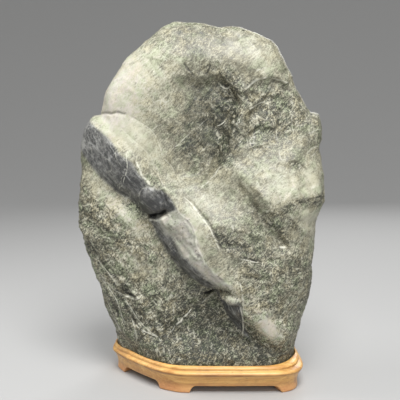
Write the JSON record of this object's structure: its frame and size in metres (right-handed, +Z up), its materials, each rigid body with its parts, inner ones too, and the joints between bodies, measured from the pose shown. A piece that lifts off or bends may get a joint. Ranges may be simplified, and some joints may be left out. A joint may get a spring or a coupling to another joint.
{
  "type": "scholars rock",
  "caption": "Weathered grey-green stone slab with a diagonal crest and cliff, standing in a fitted carved wooden stand.",
  "frame": {"origin": "on the floor under the middle of the whole object's box", "axes": "+Z up, +X to the right and +Y to the back, seen from the stone's front face"},
  "size_m": [0.2419, 0.1198, 0.3577],
  "materials": {
    "stone": "fine-grained grey-green stone, hand-polished on its high parts and rough in its hollows",
    "wood": "satin varnish"
  },
  "bodies": {
    "root": {"stone": "stone", "stand": "wood"}
  },
  "joints": []
}
